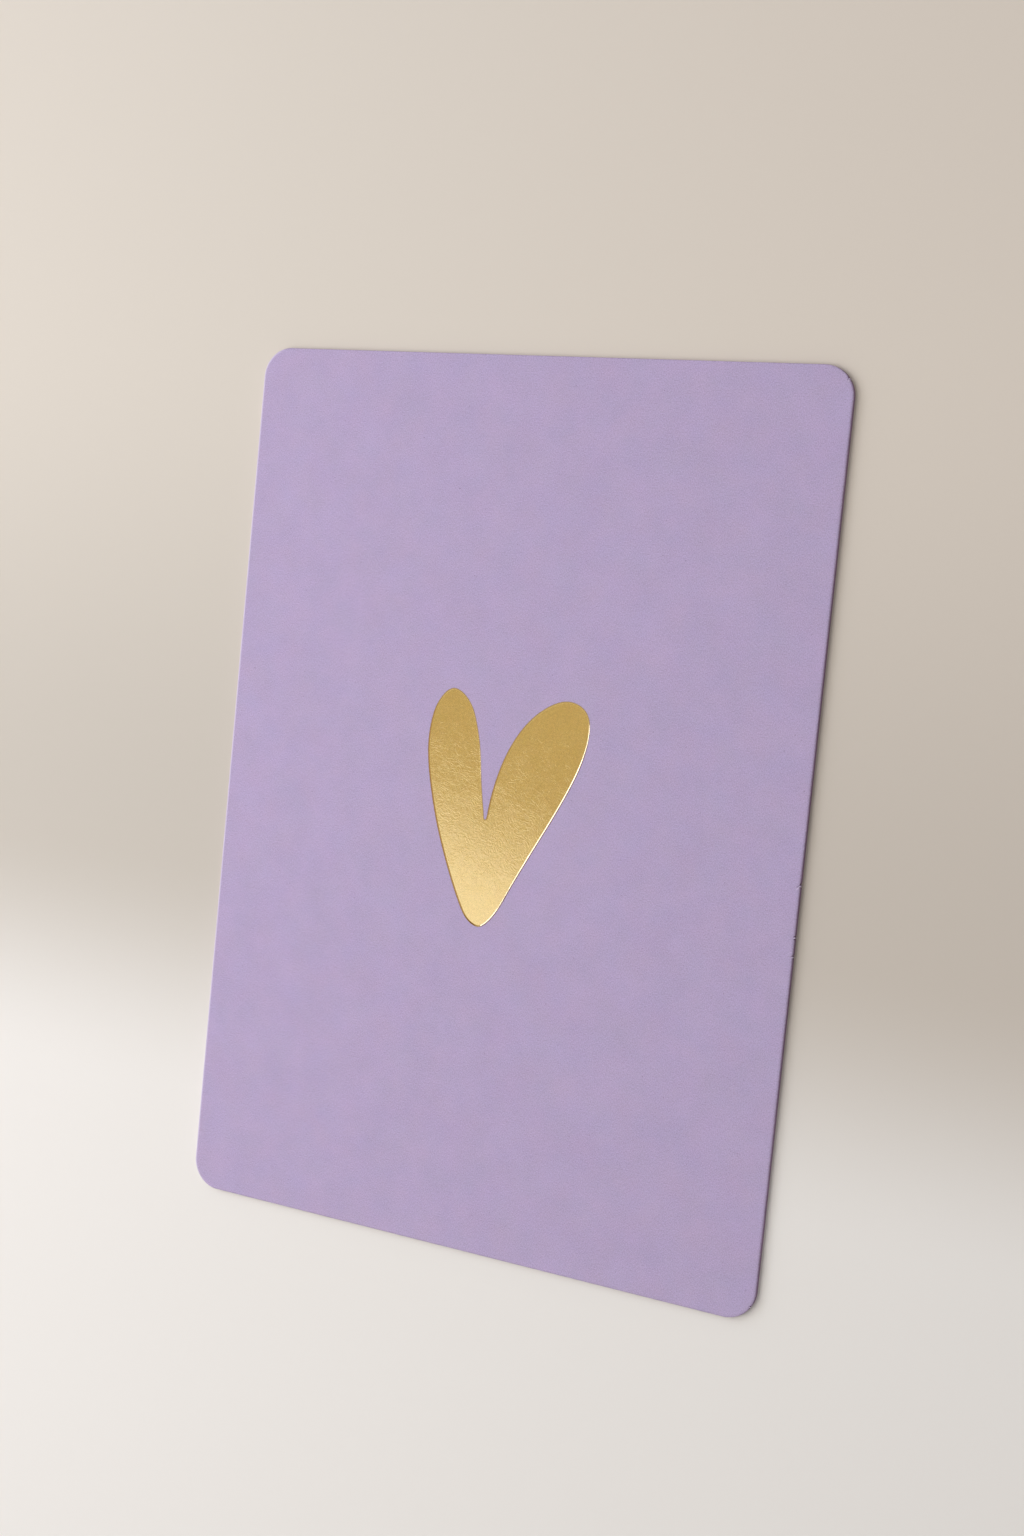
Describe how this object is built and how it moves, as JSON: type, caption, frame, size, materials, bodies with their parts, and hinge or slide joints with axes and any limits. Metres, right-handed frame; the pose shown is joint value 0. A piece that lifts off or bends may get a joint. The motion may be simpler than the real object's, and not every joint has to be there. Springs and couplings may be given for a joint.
{
  "type": "greeting card",
  "caption": "Flat greeting card of thick lilac board with round corners and a gold foil heart stamped into its face.",
  "frame": {"origin": "centre of the card's back, in the plane it lies on", "axes": "+X across the card's width, to the right as the heart stands upright; +Y up its height, towards the heart's lobes; +Z out of the printed face"},
  "size_m": [0.105, 0.148, 0.0009],
  "materials": {
    "board": "uncoated, dyed through, matt",
    "foil": "hot stamped foil, satin, finely wrinkled"
  },
  "bodies": {
    "root": {"card_sheet": "board", "foil_heart": "foil"}
  },
  "joints": []
}
